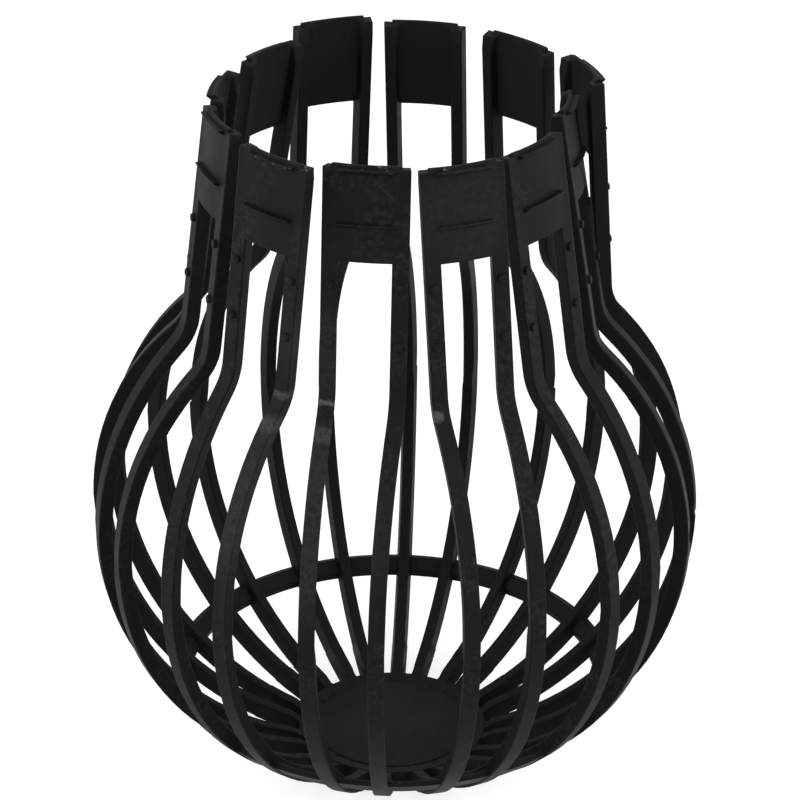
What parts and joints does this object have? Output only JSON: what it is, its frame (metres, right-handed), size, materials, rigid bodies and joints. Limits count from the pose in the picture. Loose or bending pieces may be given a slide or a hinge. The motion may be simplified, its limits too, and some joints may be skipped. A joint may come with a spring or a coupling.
{
  "type": "downpipe leaf filter",
  "caption": "One-piece black plastic leaf guard: a ribbed balloon cage with a closed crown and a slotted neck of spring fingers that push into a downpipe",
  "frame": {"origin": "middle of the crown's flat foot, on the surface the filter stands on", "axes": "+Z is the cage's axis, from the closed crown to the neck's mouth; +X passes through the middle of one finger"},
  "size_m": [0.1664, 0.1664, 0.2],
  "materials": {
    "black_plastic": "satin moulded black plastic"
  },
  "bodies": {
    "root": {"leaf_filter": "black_plastic"}
  },
  "joints": []
}
